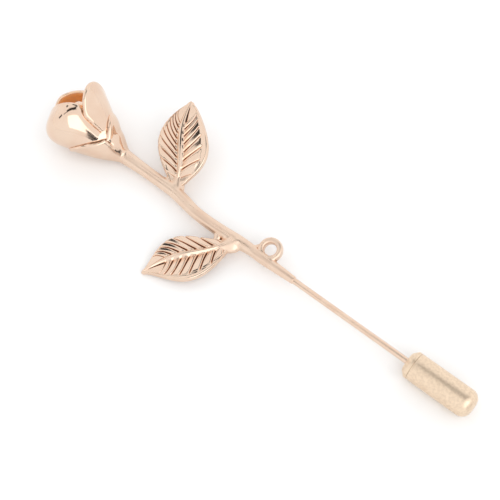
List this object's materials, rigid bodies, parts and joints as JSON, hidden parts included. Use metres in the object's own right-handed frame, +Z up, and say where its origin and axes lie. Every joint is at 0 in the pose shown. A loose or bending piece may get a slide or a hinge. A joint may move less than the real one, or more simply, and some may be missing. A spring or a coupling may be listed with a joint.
{
  "type": "flower brooch",
  "caption": "Rose stick pin lying flat: a cast bud, stem and leaves with a charm eyelet, on a needle with a push-on clutch that slides off.",
  "frame": {"origin": "middle of the footprint, on the surface that the pin lies on", "axes": "+X along the needle towards the clutch, +Y across the spray towards the raised leaf, +Z up"},
  "size_m": [0.0858, 0.028, 0.0119],
  "materials": {
    "rose_gold_plate": "polished rose gold plate on a zinc alloy casting",
    "needle_plate": "polished rose gold plate on steel wire",
    "satin_brass": "satin champagne lacquer on turned brass"
  },
  "bodies": {
    "pin": {"rose_casting": "rose_gold_plate", "needle": "needle_plate"},
    "clutch": {"clutch_nose": "satin_brass", "clutch_barrel": "satin_brass"}
  },
  "joints": [
    {"name": "clutch_slide", "type": "slide", "parent": "pin", "child": "clutch", "axis": [1, 0, 0], "range_m": [0, 0.011]}
  ]
}
